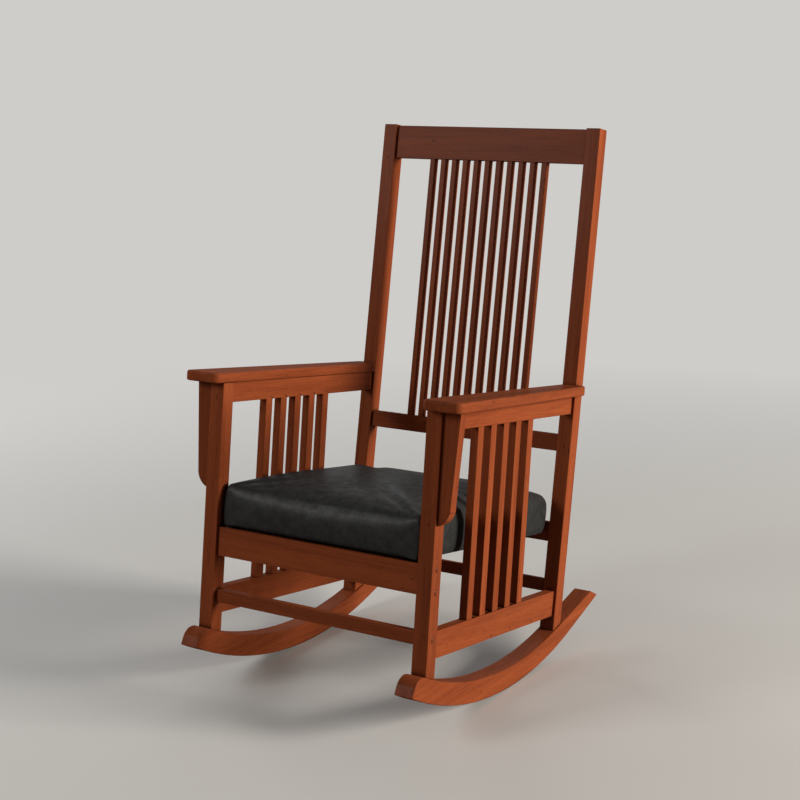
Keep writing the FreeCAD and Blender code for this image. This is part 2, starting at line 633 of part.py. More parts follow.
def is_nose_top(edge):
    """Whether an edge of a rocker is the upper one of its front end."""
    middle = edge.CenterOfMass
    above_tip = middle.z > size(f"{rocker_bottom('rocker_front')} + rocker_depth / 4")
    return is_along(edge, "x") and middle.y < 0 and above_tip


for name, side in SIDES.items():
    post_pieces(side, name)

# Front seat rail and front stretcher: butted between the front posts and drawn up by connector bolts, whose
# barrel nuts go in from the back.
FRONT_RAILS = {
    "front_seat_rail": ("rail_inset", "rail_thickness", "front_rail_bottom", "front_rail_height"),
    "front_stretcher": ("stretcher_inset", "stretcher_thickness", "front_stretcher_bottom",
                        "stretcher_height"),
}
DOME_RADIUS = "((cap_radius ^ 2 + cap_dome ^ 2) / (2 * cap_dome))"
THREAD_RADIUS = "bolt_radius + joint_gap / 2"
bolts = []
nuts = []
caps = []


def cap_dome(side, level):
    """The low dome of a bolt cap, on the front post's outer face."""
    feature = doc.addObject("Part::Sphere", "Dome")
    feature.setExpression("Radius", link(DOME_RADIUS))
    feature.setExpression("Angle1", link(f"acos(cap_radius / {DOME_RADIUS})"))
    centre = on_side(side, f"outer + cap_dome - {DOME_RADIUS}", "0")
    return put(feature, (centre, "front_middle", level), f"{90 * side}", (0, 1, 0))


for rail, (inset, thickness, bottom, height) in FRONT_RAILS.items():
    blank = block(("-half", f"{inset} - front_reach", bottom), ("seat_opening", thickness, height))
    room = []
    for side in SIDES.values():
        for level in FRONT_BOLT_HEIGHTS[rail]:
            hole = "bolt_grip + joint_gap"
            hole_start = (on_side(side, f"half - ({hole})", hole), "front_middle", level)
            room.append(rod("x", hole_start, "bolt_radius + joint_gap", hole))
            nut_x = on_side(side, "half - nut_set_in", "0")
            nut_y = f"{inset} - front_reach + nut_cover"
            room.append(rod("y", (nut_x, nut_y, level), "nut_radius + joint_gap", thickness))
            nut = rod("y", (nut_x, nut_y, level), "nut_radius", f"{thickness} - 2 * nut_cover")
            thread_x = on_side(side, "half - nut_set_in - 2 * nut_radius", "4 * nut_radius")
            thread = rod("x", (thread_x, "front_middle", level), THREAD_RADIUS, "4 * nut_radius")
            nuts.append(cut(nut, [thread]))
            shank = "bolt_grip + post - cap_depth"
            shank_start = (on_side(side, "half - bolt_grip", shank), "front_middle", level)
            head_start = (on_side(side, "outer - cap_depth", "bolt_head_height"), "front_middle", level)
            bolts.append(fuse([rod("x", shank_start, "bolt_radius", shank),
                               rod("x", head_start, "bolt_head_radius", "bolt_head_height")]))
            plug = "cap_depth - bolt_head_height - joint_gap"
            plug_start = (on_side(side, f"outer - ({plug})", plug), "front_middle", level)
            caps.append(fuse([rod("x", plug_start, "cap_radius", plug), cap_dome(side, level)]))
    if rail == "front_seat_rail":
        for x in CLEAT_SCREW_PLACES:
            room += screw_room("-y", front_cleat_screw_start(x), "cleat_screw_length", TO_FRONT, "0")
    finish(rail, cut(blank, room))
finish_group("connector_bolts", bolts)
finish_group("barrel_nuts", nuts)
finish_group("bolt_caps", caps)

# Back rails: tenoned into the rear posts. The crest rail and the lower back rail are housed for the slats.
for rail, (rise, height, thickness) in BACK_RAILS.items():
    blank = back_block(("-half", f"(post - {thickness}) / 2", rise), ("seat_opening", thickness, height))
    whole = fuse([blank, back_tenons(rise, height)])
    room = []
    if rail in ("lower_back_rail", "crest_rail"):
        room = [back_block(*back_slat(number, "joint_gap", "0")) for number in BACK_SLATS]
    if rail == "rear_seat_rail":
        for x in CLEAT_SCREW_PLACES:
            room += screw_room("depth", rear_cleat_screw_start(x), "cleat_screw_length", TO_BACK, "0")
    finish(rail, cut(whole, room) if room else whole)
for number in BACK_SLATS:
    corner, extent = back_slat(number, "0", "-joint_gap")
    finish_block(f"back_slat_{number + 1}", on_back(*corner), extent, "back_lean")

# Fasteners inside the wood: dowels for arms and corbels, bolts and threaded inserts for the rockers, screws
# for the arms.
finish_group("arm_dowels", [arm_dowel(side, "0") for side in SIDES.values()])
finish_group("corbel_dowels", [corbel_dowel(side, height, "0")
                               for side in SIDES.values() for height in CORBEL_DOWEL_HEIGHTS])
rocker_bolts = []
rocker_inserts = []
for side in SIDES.values():
    for rear_end in (False, True):
        bearing = bolt_bearing(rear_end)
        reach = f"insert_length + insert_recess - {bearing}"
        shank = foot_rod(side, rear_end, "bolt_radius", bearing, reach)
        under_head = f"{bearing} - bolt_head_height"
        head = foot_rod(side, rear_end, "bolt_head_radius", under_head, "bolt_head_height")
        rocker_bolts.append(fuse([shank, head]))
        body = foot_rod(side, rear_end, "insert_radius", "insert_recess", "insert_length")
        bore = foot_rod(side, rear_end, THREAD_RADIUS, "0", "2 * insert_length")
        rocker_inserts.append(cut(body, [bore]))
finish_group("rocker_bolts", rocker_bolts)
finish_group("rocker_inserts", rocker_inserts)
finish_group("arm_screws", [screw("z", arm_screw_start(side, y), "screw_length", UP)
                            for side in SIDES.values() for y in ARM_SCREW_PLACES])

# Strips that carry the seat: one behind the front seat rail, standing a little above it, and one on the rear
# seat rail, planed to the seat's slope on top.
FRONT_CLEAT_SCREW = ("cleat_screw_length", TO_FRONT)
REAR_CLEAT_SCREW = ("cleat_screw_length", TO_BACK)
SEAT_SCREW = ("seat_screw_length", UP)
front_start = "-(half - front_cleat_end_gap)"
front_width = "2 * (half - front_cleat_end_gap)"
rear_start = "-(half - rear_cleat_end_gap)"
rear_width = "2 * (half - rear_cleat_end_gap)"
front_cleat = block((front_start, "front_rail_back", "strip_top - cleat_height"),
                    (front_width, "cleat_thickness", "cleat_height"))
room = []
for x in CLEAT_SCREW_PLACES:
    room += screw_room("-y", front_cleat_screw_start(x), *FRONT_CLEAT_SCREW, "cleat_screw_recess")
for x in SEAT_SCREW_PLACES:
    room += screw_room("z", seat_screw_start(x, False), *SEAT_SCREW, "seat_screw_recess")
finish("front_cleat", cut(front_cleat, room))
rear_blank = back_block((rear_start, "rail_inset - cleat_thickness", f"{REAR_CLEAT_RISE} - cleat_height / 2"),
                        (rear_width, "cleat_thickness", "2 * cleat_height"))
above_strip = block((rear_start, "strip_back", "strip_top"),
                    (rear_width, "front_reach + rear_reach", "2 * cleat_height"), "-seat_slope")
room = [above_strip]
for x in CLEAT_SCREW_PLACES:
    room += screw_room("depth", rear_cleat_screw_start(x), *REAR_CLEAT_SCREW, "cleat_screw_recess")
for x in SEAT_SCREW_PLACES:
    room += screw_room("z", seat_screw_start(x, True), *SEAT_SCREW, "seat_screw_recess")
finish("rear_cleat", cut(rear_blank, room))
cleat_screws = [screw("-y", front_cleat_screw_start(x), *FRONT_CLEAT_SCREW) for x in CLEAT_SCREW_PLACES]
cleat_screws += [screw("depth", rear_cleat_screw_start(x), *REAR_CLEAT_SCREW) for x in CLEAT_SCREW_PLACES]
finish_group("cleat_screws", cleat_screws)
finish_group("seat_screws", [screw("z", seat_screw_start(x, rear), *SEAT_SCREW)
                             for x in SEAT_SCREW_PLACES for rear in (False, True)])

# The upholstered seat: a plywood board, foam crowned over it, a cover drawn round both and hemmed under the
# board, and a cloth that closes the underside. The cushion's form is a loft through rounded rectangles. All
# of it is drawn level, then sloped to the back about the front strip's rear edge.
seat_low = size("strip_top + soft_gap")
seat_half = size("cushion_side")
seat_front = size("cushion_front")
rail_face = size(REAR_RAIL_FACE)
seat_rear = rail_face - size("cushion_rear_gap")
ARC_STEPS = 5
CROWN_SHARES = (0.2, 0.45, 0.75)


def rounded_rectangle(inset, rear_inset, height, radius):
    """A level rounded rectangle of the seat's plan, drawn in by an inset and by another at the back."""
    left, right = -seat_half + inset, seat_half - inset
    front, rear = seat_front + inset, seat_rear - rear_inset
    corners = [(right, front), (right, rear), (left, rear), (left, front)]
    steps = [(0, 1), (-1, 0), (0, -1), (1, 0)]
    edges = []
    for index, (x, y) in enumerate(corners):
        into = steps[index - 1]
        away = steps[index]
        start = FreeCAD.Vector(x - into[0] * radius, y - into[1] * radius, height)
        end = FreeCAD.Vector(x + away[0] * radius, y + away[1] * radius, height)
        centre = FreeCAD.Vector(start.x + away[0] * radius, start.y + away[1] * radius, height)
        outward = (start - centre) + (end - centre)
        outward.normalize()
        following = corners[(index + 1) % len(corners)]
        stop = FreeCAD.Vector(following[0] - away[0] * radius, following[1] - away[1] * radius, height)
        edges.append(Part.Arc(start, centre + outward * radius, end).toShape())
        edges.append(Part.LineSegment(end, stop).toShape())
    return Part.Wire(edges)


def edge_inset(height, radius):
    """How far a rounded top edge has drawn in at a height of the cushion."""
    above = height - (size("cushion_height") - radius)
    return radius - math.sqrt(radius ** 2 - above ** 2) if above > 0 else 0


def cushion_sections():
    """Inset, rear inset and height of the cushion's outline: its tuck over the rail, its edge, its crown."""
    edge = size("cushion_edge_radius")
    rear_edge = size("cushion_rear_radius")
    top = size("cushion_height")
    sections = []
    for step in range(ARC_STEPS):
        turn = math.radians(90 * step / (ARC_STEPS - 1))
        inset = size("cushion_tuck") * (1 - math.sin(turn))
        sections.append((inset, inset, size("cushion_belly") * (1 - math.cos(turn))))
    for step in range(ARC_STEPS + 1):
        height = top - rear_edge * (1 - math.sin(math.radians(90 * step / ARC_STEPS)))
        sections.append((edge_inset(height, edge), edge_inset(height, rear_edge), height))
    for share in CROWN_SHARES:
        rise = size("cushion_crown") * (1 - (1 - share) ** 2)
        insets = [start + (seat_half - start) * share for start in (edge, rear_edge)]
        sections.append((*insets, top + rise))
    return sections


def cushion_form(skin):
    """The cushion's form, drawn in all round by the thickness of a skin."""
    sections = cushion_sections()
    top = sections[-1][-1]
    corner = size("cushion_corner_radius") - skin
    wires = []
    for inset, rear_inset, height in sections:
        level = seat_low + skin + height * (top - 2 * skin) / top
        wires.append(rounded_rectangle(inset + skin, rear_inset + skin, level, corner))
    return Part.makeLoft(wires, True, True)


def level_block(inset, low, high):
    """A block of the seat's plan, drawn in by an inset, between two heights."""
    width = 2 * (seat_half - inset)
    depth = seat_rear - seat_front - 2 * inset
    return Part.makeBox(width, depth, high - low, FreeCAD.Vector(inset - seat_half, seat_front + inset, low))


cover = size("cover_thickness")
gap = size("soft_gap")
board_low = seat_low + cover + gap
board_high = board_low + size("board_thickness")
board_edge = size("cushion_tuck") + cover + size("board_inset")
below = level_block(-cover, seat_low - cover, board_high + gap)
opening = level_block(size("cover_hem"), seat_low - cover, board_low)
bore_radius = size("screw_radius") + gap
bore_length = size("seat_screw_length") + gap
screw_bores = []
for x in SEAT_SCREW_PLACES:
    for rear in (False, True):
        place = FreeCAD.Vector(*[size(formula) for formula in seat_screw_start(x, rear)])
        screw_bores.append(Part.makeCylinder(bore_radius, bore_length, place))
dust_front = size("strip_back") + gap
dust_rear = rail_face - size("cleat_thickness") - 2 * gap
dust_half = seat_half - size("dust_cover_inset")
dust_low = seat_low - gap - size("dust_cover_thickness")
soft_shapes = {
    "seat_cover": cushion_form(0).cut(cushion_form(cover)).cut(opening),
    "seat_foam": cushion_form(cover + gap).cut(below),
    "seat_board": level_block(board_edge, board_low, board_high),
    "dust_cover": Part.makeBox(2 * dust_half, dust_rear - dust_front, size("dust_cover_thickness"),
                               FreeCAD.Vector(-dust_half, dust_front, dust_low)),
}
slope_edge = FreeCAD.Vector(0, size("strip_back"), size("strip_top"))
slope_turn = FreeCAD.Rotation(FreeCAD.Vector(1, 0, 0), -size("seat_slope"))
slope = FreeCAD.Placement(FreeCAD.Vector(), slope_turn, slope_edge).Matrix
for label, level_shape in soft_shapes.items():
    shape = level_shape.transformed(slope, copy=True)
    feature = doc.addObject("Part::Feature", label)
    feature.Shape = shape.cut(screw_bores) if label in ("seat_cover", "seat_board") else shape
    finish(label, feature)

doc.recompute()

# Nothing is written unless every object came out sound.
faults = [f"{item.Label}: {item.State}" for item in doc.Objects if {"Invalid", "Error"} & set(item.State)]
faults += [f"{item.Label}: bad shape" for item in finished if item.Shape.isNull() or not item.Shape.isValid()]
if faults:
    raise RuntimeError("; ".join(faults))
os.makedirs("parts", exist_ok=True)
for item in finished:
    item.Shape.exportStep(f"parts/{item.Label}.step")
print(len(finished), "pieces written")
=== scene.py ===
import math

import bmesh
import bpy
from mathutils import Matrix, Vector


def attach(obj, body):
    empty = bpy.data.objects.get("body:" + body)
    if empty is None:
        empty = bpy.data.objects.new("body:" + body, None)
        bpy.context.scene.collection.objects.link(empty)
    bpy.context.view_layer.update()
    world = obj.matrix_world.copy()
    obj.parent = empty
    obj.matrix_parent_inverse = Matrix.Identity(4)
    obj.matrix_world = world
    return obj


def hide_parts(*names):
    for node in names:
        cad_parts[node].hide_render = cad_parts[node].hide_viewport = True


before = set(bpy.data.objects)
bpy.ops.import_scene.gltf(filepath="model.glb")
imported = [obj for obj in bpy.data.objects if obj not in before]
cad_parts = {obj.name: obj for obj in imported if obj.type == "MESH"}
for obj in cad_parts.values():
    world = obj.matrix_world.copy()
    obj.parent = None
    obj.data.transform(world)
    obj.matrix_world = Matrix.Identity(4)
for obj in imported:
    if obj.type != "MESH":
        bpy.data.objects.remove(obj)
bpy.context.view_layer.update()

# Four square hardwood posts carry the chair. The rear pair runs from the rockers to the crest in one
# length and leans back; all are sawn with the grain up the post, stained reddish brown and lacquered.
rest_tilt = math.radians(6.5)
back_lean = math.radians(3.3)
upright = (0, math.sin(rest_tilt), math.cos(rest_tilt))
leaning = (0, math.sin(rest_tilt + back_lean), math.cos(rest_tilt + back_lean))
stain_light = (0.310, 0.073, 0.0245, 1)
stain_dark = (0.180, 0.0395, 0.0140, 1)
# The colour of the painted shade in the wood's joints and inner corners, and how far around a place it looks
# for surfaces that close in.
painted_joint_shade = (0.012, 0.0035, 0.0015, 1)
shade_reach = 0.014
lacquer = 0.07


def add_node(tree, kind, inputs=(), **settings):
    """A node of a material, with its settings and with its inputs set or linked."""
    node = tree.nodes.new(kind)
    for name, value in settings.items():
        setattr(node, name, value)
    for key, value in dict(inputs).items():
        if isinstance(value, bpy.types.NodeSocket):
            tree.links.new(value, node.inputs[key])
        else:
            node.inputs[key].default_value = value
    return node


def math_node(tree, operation, *values):
    """The result of a sum on values of a material."""
    return add_node(tree, "ShaderNodeMath", enumerate(values), operation=operation).outputs[0]


def blend_colours(tree, share, first, second):
    """Two colours of a material blended by a share of the second."""
    return add_node(tree, "ShaderNodeMix", {0: share, 6: first, 7: second}, data_type="RGBA").outputs[2]


def speckle(tree, place, scale, detail, **more):
    """Noise of a scale, spread over a surface."""
    inputs = {"Vector": place, "Scale": scale, "Detail": detail, **more}
    return add_node(tree, "ShaderNodeTexNoise", inputs).outputs["Fac"]


def streaks(tree, place, stretch, detail, distortion=0.0):
    """Noise drawn out along the grain."""
    drawn = add_node(tree, "ShaderNodeVectorMath", {0: place, 1: stretch}, operation="MULTIPLY").outputs[0]
    return speckle(tree, drawn, 1.0, detail, Distortion=distortion)


def between(tree, value, low, high):
    """A value spread from 0 at low to 1 at high."""
    spread = add_node(tree, "ShaderNodeMapRange", {"Value": value, "From Min": low, "From Max": high})
    return spread.outputs[0]


def make_wood_grain():
    """Growth figure, fibres, pores and small dark marks of a sawn board, with the grain along X.

    Board is a number of its own for each board: it moves the figure and changes the tone a little.
    """
    group = bpy.data.node_groups.new("wood_grain", "ShaderNodeTree")
    for name, kind in (("Place", "NodeSocketVector"), ("Board", "NodeSocketFloat"),
                       ("Light", "NodeSocketColor"), ("Dark", "NodeSocketColor")):
        group.interface.new_socket(name, in_out="INPUT", socket_type=kind)
    for name, kind in (("Color", "NodeSocketColor"), ("Roughness", "NodeSocketFloat"),
                       ("Height", "NodeSocketFloat")):
        group.interface.new_socket(name, in_out="OUTPUT", socket_type=kind)
    given = group.nodes.new("NodeGroupInput").outputs
    board_step = (3.1, 1.7, 2.3)
    apart = add_node(group, "ShaderNodeVectorMath", {0: board_step, 3: given["Board"]}, operation="SCALE")
    place = add_node(group, "ShaderNodeVectorMath", {0: given["Place"], 1: apart.outputs[0]}).outputs[0]
    growth = between(group, streaks(group, place, (2.0, 42, 42), 3, 0.7), 0.32, 0.68)
    fibres = between(group, streaks(group, place, (10, 330, 330), 3), 0.30, 0.70)
    pores = between(group, streaks(group, place, (45, 1250, 1250), 1), 0.60, 0.74)
    marks = between(group, streaks(group, place, (38, 105, 105), 2), 0.70, 0.76)
    figure = math_node(group, "MULTIPLY_ADD", growth, 0.55, math_node(group, "MULTIPLY", fibres, 0.45))
    tone = blend_colours(group, figure, given["Dark"], given["Light"])
    dents = math_node(group, "MAXIMUM", math_node(group, "MULTIPLY", pores, 0.4),
                      math_node(group, "MULTIPLY", marks, 0.55))
    pore_dark = (0.012, 0.005, 0.003, 1)
    tone = blend_colours(group, dents, tone, pore_dark)
    board_tone = math_node(group, "MULTIPLY_ADD", given["Board"], 0.18, 0.90)
    tone = add_node(group, "ShaderNodeVectorMath", {0: tone, 3: board_tone}, operation="SCALE").outputs[0]
    sheen = math_node(group, "MULTIPLY_ADD", figure, -0.08, 0.52)
    rough = math_node(group, "MULTIPLY_ADD", dents, 0.30, sheen)
    height = math_node(group, "SUBTRACT", math_node(group, "MULTIPLY", figure, 0.35), dents)
    result = group.nodes.new("NodeGroupOutput").inputs
    group.links.new(tone, result["Color"])
    group.links.new(rough, result["Roughness"])
    group.links.new(height, result["Height"])
    return group


wood_grain = make_wood_grain()


def new_material(name, **sockets):
    """A material with its surface's even values set, its node tree and its surface."""
    material = bpy.data.materials.new(name)
    material.use_nodes = True
    surface = material.node_tree.nodes["Principled BSDF"]
    for key, value in sockets.items():
        surface.inputs[key.replace("_", " ")].default_value = value
    return material, material.node_tree, surface


def object_place(tree):
    """Places on a piece, in metres, which its finish is laid out by."""
    return tree.nodes.new("ShaderNodeTexCoord").outputs["Object"]


def roughen(tree, surface, height, strength, depth):
    """Raises a relief of a height on a surface."""
    bump = add_node(tree, "ShaderNodeBump", {"Strength": strength, "Distance": depth, "Height": height})
    tree.links.new(bump.outputs[0], surface.inputs["Normal"])


def finished_wood(name, grain, light, dark, coat):
    """Wood whose grain runs in a direction, under a coat of lacquer. Its joints and inner corners are
    darkened by painted shade where other surfaces stand close.
    """
    material, tree, surface = new_material(name, Coat_Weight=coat, Coat_Roughness=0.26,
                                           Specular_IOR_Level=0.0)
    along = Vector(grain).normalized()
    across = along.orthogonal().normalized()
    turn = Matrix((along, across, along.cross(across))).to_euler()
    place = add_node(tree, "ShaderNodeMapping", {"Vector": object_place(tree), "Rotation": turn}).outputs[0]
    board = tree.nodes.new("ShaderNodeObjectInfo").outputs["Random"]
    look = tree.nodes.new("ShaderNodeGroup")
    look.node_tree = wood_grain
    look.inputs["Light"].default_value, look.inputs["Dark"].default_value = light, dark
    tree.links.new(place, look.inputs["Place"])
    tree.links.new(board, look.inputs["Board"])
    # Painted shade: the colour turns to the dark joint colour wherever nearby surfaces close in, in joints,
    # corners and recesses.
    open_sides = add_node(tree, "ShaderNodeAmbientOcclusion", {"Distance": shade_reach}, samples=4)
    shaded_share = between(tree, open_sides.outputs["AO"], 0.78, 0.25)
    tone = blend_colours(tree, shaded_share, look.outputs["Color"], painted_joint_shade)
    tree.links.new(tone, surface.inputs["Base Color"])
    tree.links.new(look.outputs["Roughness"], surface.inputs["Roughness"])
    roughen(tree, surface, look.outputs["Height"], 0.25, 0.0004)
    return material


def dress(material, *names):
    """Gives CAD pieces their finish."""
    for name in names:
        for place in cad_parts[name].material_slots:
            place.material = material


def make_outer_edges():
    """Picks the long outer edges of a piece, not the rims of its bores and mortises, to be eased."""
    group = bpy.data.node_groups.new("outer_edges", "GeometryNodeTree")
    group.interface.new_socket("Geometry", in_out="INPUT", socket_type="NodeSocketGeometry")
    group.interface.new_socket("Shortest", in_out="INPUT", socket_type="NodeSocketFloat")
    group.interface.new_socket("Geometry", in_out="OUTPUT", socket_type="NodeSocketGeometry")
    given = group.nodes.new("NodeGroupInput").outputs
    skin = add_node(group, "GeometryNodeMergeByDistance",
                    {"Geometry": given["Geometry"], "Distance": 0.00002})
    ends = group.nodes.new("GeometryNodeInputMeshEdgeVertices").outputs
    span = add_node(group, "ShaderNodeVectorMath", {0: ends["Position 1"], 1: ends["Position 2"]},
                    operation="DISTANCE")
    turn = group.nodes.new("GeometryNodeInputMeshEdgeAngle").outputs["Signed Angle"]
    long = math_node(group, "GREATER_THAN", span.outputs["Value"], given["Shortest"])
    picked = math_node(group, "MULTIPLY", math_node(group, "GREATER_THAN", turn, math.radians(35)), long)
    marked = add_node(group, "GeometryNodeStoreNamedAttribute",
                      {"Geometry": skin.outputs[0], "Name": "bevel_weight_edge", "Value": picked},
                      data_type="FLOAT", domain="EDGE")
    group.links.new(marked.outputs[0], group.nodes.new("NodeGroupOutput").inputs["Geometry"])
    return group


outer_edges = make_outer_edges()


def ease_edges(width, shortest, *names):
    """Sands the outer edges of wooden pieces that are longer than a length a little round."""
    for name in names:
        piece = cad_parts[name]
        pick = piece.modifiers.new("outer_edges", "NODES")
        pick.node_group = outer_edges
        pick[outer_edges.interface.items_tree["Shortest"].identifier] = shortest
        edge = piece.modifiers.new("eased_edges", "BEVEL")
        edge.width = width
        edge.segments = 3
        edge.limit_method = "WEIGHT"
        edge.use_clamp_overlap = False
        faces = piece.modifiers.new("flat_faces", "WEIGHTED_NORMAL")
        faces.keep_sharp = False


post_wood = finished_wood("post_wood", upright, stain_light, stain_dark, lacquer)
back_wood = finished_wood("back_wood", leaning, stain_light, stain_dark, lacquer)
dress(post_wood, "front_post_left", "front_post_right")
dress(back_wood, "rear_post_left", "rear_post_right")
ease_edges(0.0014, 0.025, "front_post_left", "front_post_right", "rear_post_left", "rear_post_right")

# Two rockers, each sawn to its curve from one board, stand under the posts. The grain runs from front to
# back through the curve, and the sawn edges are sanded round before the stain.
lengthwise = (0, 1, 0)
rocker_wood = finished_wood("rocker_wood", lengthwise, stain_light, stain_dark, lacquer)
dress(rocker_wood, "rocker_left", "rocker_right")
ease_edges(0.0022, 0.003, "rocker_left", "rocker_right")

# Each side has a low rail and a rail under the arm between its posts, with five square slats between them.
# They are the same stained hardwood, jointed and glued; the slats stand with the grain upright.
along_side = (0, math.cos(rest_tilt), -math.sin(rest_tilt))
side_rail_wood = finished_wood("side_rail_wood", along_side, stain_light, stain_dark, lacquer)
side_rails = ["side_rail_left", "side_rail_right", "arm_rail_left", "arm_rail_right"]
side_slats = [f"side_slat_{side}_{n}" for side in ("left", "right") for n in range(1, 6)]
dress(side_rail_wood, *side_rails)
dress(post_wood, *side_slats)
ease_edges(0.0012, 0.025, *side_rails)
ease_edges(0.0010, 0.008, *side_slats)

# Rails and thin stretchers of the same wood run across the chair between the sides: the seat rails in
# front and behind, and one stretcher low down at each end. Their grain runs from side to side.
crosswise = (1, 0, 0)
cross_wood = finished_wood("cross_wood", crosswise, stain_light, stain_dark, lacquer)
cross_rails = ["front_seat_rail", "rear_seat_rail", "front_stretcher", "rear_stretcher"]
dress(cross_wood, *cross_rails)
ease_edges(0.0014, 0.025, *cross_rails)

# The back is a crest rail and a lower rail between the rear posts, with eleven thin slats let into both.
# All are the same stained hardwood, and the slats lean with the posts.
back_rails = ["crest_rail", "lower_back_rail"]
back_slats = [f"back_slat_{n}" for n in range(1, 12)]
dress(cross_wood, *back_rails)
dress(back_wood, *back_slats)
ease_edges(0.0014, 0.025, *back_rails)
ease_edges(0.0010, 0.008, *back_slats)

# The arms are flat hardwood boards that narrow to the back, sanded round at the corners. A corbel under
# each stands glued and dowelled to the outside of the front post.
arms = ["arm_left", "arm_right"]
corbels = ["corbel_left", "corbel_right"]
dress(side_rail_wood, *arms)
dress(post_wood, *corbels)
ease_edges(0.0012, 0.004, *arms, *corbels)

# Beech dowels join the corbels to the posts and the posts to the arms. They are plain wood, without stain
# or lacquer, glued into their bores.
beech_light, beech_dark = (0.62, 0.43, 0.25, 1), (0.44, 0.28, 0.15, 1)
no_lacquer = 0.0
dowel_wood = finished_wood("dowel_wood", upright, beech_light, beech_dark, no_lacquer)
dress(dowel_wood, "arm_dowels", "corbel_dowels")


# Steel bolts, barrel nuts and screws hold the rails, rockers, arms and seat. They are bright zinc plated,
# and the threaded inserts in the posts' feet are a zinc alloy.
def plated_metal(name, colour, dull, rough):
    """Plated metal with a cloudy finish and fine turning marks."""
    material, tree, surface = new_material(name, Metallic=1.0)
    place = object_place(tree)
    clouds = speckle(tree, place, 220.0, 3.0)
    tone = blend_colours(tree, between(tree, clouds, 0.35, 0.65), colour, dull)
    tree.links.new(tone, surface.inputs["Base Color"])
    tree.links.new(math_node(tree, "MULTIPLY_ADD", clouds, 0.16, rough), surface.inputs["Roughness"])
    roughen(tree, surface, speckle(tree, place, 2600.0, 1.0), 0.2, 0.0001)
    return material


zinc_steel = plated_metal("zinc_steel", (0.62, 0.63, 0.64, 1), (0.46, 0.47, 0.49, 1), 0.26)
insert_alloy = plated_metal("insert_alloy", (0.58, 0.53, 0.42, 1), (0.45, 0.41, 0.33, 1), 0.32)
dress(zinc_steel, "connector_bolts", "barrel_nuts", "rocker_bolts")
dress(zinc_steel, "arm_screws", "cleat_screws", "seat_screws")
dress(insert_alloy, "rocker_inserts")

# Domed caps close the bolt holes on the outer faces of the front posts. They are moulded in a brown near
# the stain, with a soft gloss on the dome.
cap_light, cap_dark = (0.185, 0.047, 0.019, 1), (0.125, 0.031, 0.013, 1)
cap_plastic, tree, surface = new_material("cap_plastic", Coat_Weight=0.06, Coat_Roughness=0.25,
                                          Specular_IOR_Level=0.0)
grains = speckle(tree, object_place(tree), 900.0, 2.0)
tone = blend_colours(tree, between(tree, grains, 0.35, 0.65), cap_light, cap_dark)
tree.links.new(tone, surface.inputs["Base Color"])
tree.links.new(math_node(tree, "MULTIPLY_ADD", grains, 0.2, 0.26), surface.inputs["Roughness"])
roughen(tree, surface, grains, 0.1, 0.0001)
dress(cap_plastic, "bolt_caps")

# Two strips screwed to the seat rails carry the seat, and its board is birch plywood. The strips are
# stained with the frame and lightly sanded, and the board is left plain under the cushion.
dress(cross_wood, "front_cleat", "rear_cleat")
ease_edges(0.0010, 0.018, "front_cleat", "rear_cleat")
birch_light, birch_dark = (0.66, 0.50, 0.32, 1), (0.50, 0.36, 0.21, 1)
plywood = finished_wood("plywood", crosswise, birch_light, birch_dark, no_lacquer)
dress(plywood, "seat_board")

# The seat cushion is foam on the board under one black leather-like cover, drawn over the edges, folded at
# the corners and stapled under the board. It is full, with a crown, and its front corners are drawn down.
seat_slope = math.radians(-1.5)
slope_place = Vector((0, -0.2055, 0.2935))
rocker_centre = Vector((0, 0, 0.790))
seat_place = (Matrix.Translation(rocker_centre) @ Matrix.Rotation(-rest_tilt, 4, "X")
              @ Matrix.Translation(-rocker_centre) @ Matrix.Translation(slope_place)
              @ Matrix.Rotation(seat_slope, 4, "X") @ Matrix.Translation(-slope_place))
cushion_half, cushion_front, cushion_rear, cushion_low = 0.2264, -0.2430, 0.2686, 0.2938
cushion_edge, cushion_crown = 0.0905, 0.0105
corner_round, corner_points, side_runs = 0.006, 5, 20
least_half, most_corner = 0.002, 0.9
front_drop, corner_drop = 0.05, 0.035
fold_reach, fold_core, fold_tightness = 0.055, 0.010, 0.65


def ramp(value, low, high):
    """A smooth step from 0 at low to 1 at high."""
    share = min(1, max(0, (value - low) / (high - low)))
    return share * share * (3 - 2 * share)


def fullness(x, y):
    """The share of its full height that the cushion has at a place: less in front, least at the corners."""
    aside = abs(x) / cushion_half
    in_front = 1 - ramp((y - cushion_front) / (cushion_rear - cushion_front), 0, 0.22)
    return 1 - front_drop * in_front - corner_drop * in_front * ramp(aside, 0.7, 1)


def front_fold(x, y):
    """1 at the cushion's front corners, where the cover is folded tight, and 0 away from them."""
    return ramp(math.hypot(cushion_half - abs(x), y - cushion_front), fold_reach, fold_core)


def cushion_outline(inset, front_inset, rear_inset, height):
    """A rounded rectangle of the cushion's plan at a height over the board."""
    half = max(cushion_half - inset, least_half)
    front, rear = cushion_front + front_inset, cushion_rear - rear_inset
    corner = min(corner_round, most_corner * half)
    corners = (((half, front), -90), ((half, rear), 0), ((-half, rear), 90), ((-half, front), 180))
    rounded = []
    for (x, y), turn in corners:
        middle = (x - math.copysign(corner, x), y + (corner if y == front else -corner))
        for step in range(corner_points):
            angle = math.radians(turn + 90 * step / (corner_points - 1))
            rounded.append((middle[0] + corner * math.cos(angle), middle[1] + corner * math.sin(angle)))
    outline = []
    for n, (x, y) in enumerate(rounded):
        next_x, next_y = rounded[(n + 1) % len(rounded)]
        runs = side_runs if (n + 1) % corner_points == 0 else 1
        outline += [(x + (next_x - x) * run / runs, y + (next_y - y) * run / runs) for run in range(runs)]
    points = []
    for x, y in outline:
        fold = fold_tightness * front_fold(x, y)
        level = cushion_low + height * fullness(x, y)
        points.append((x + math.copysign(fold * inset, x), y - fold * front_inset, level))
    return points


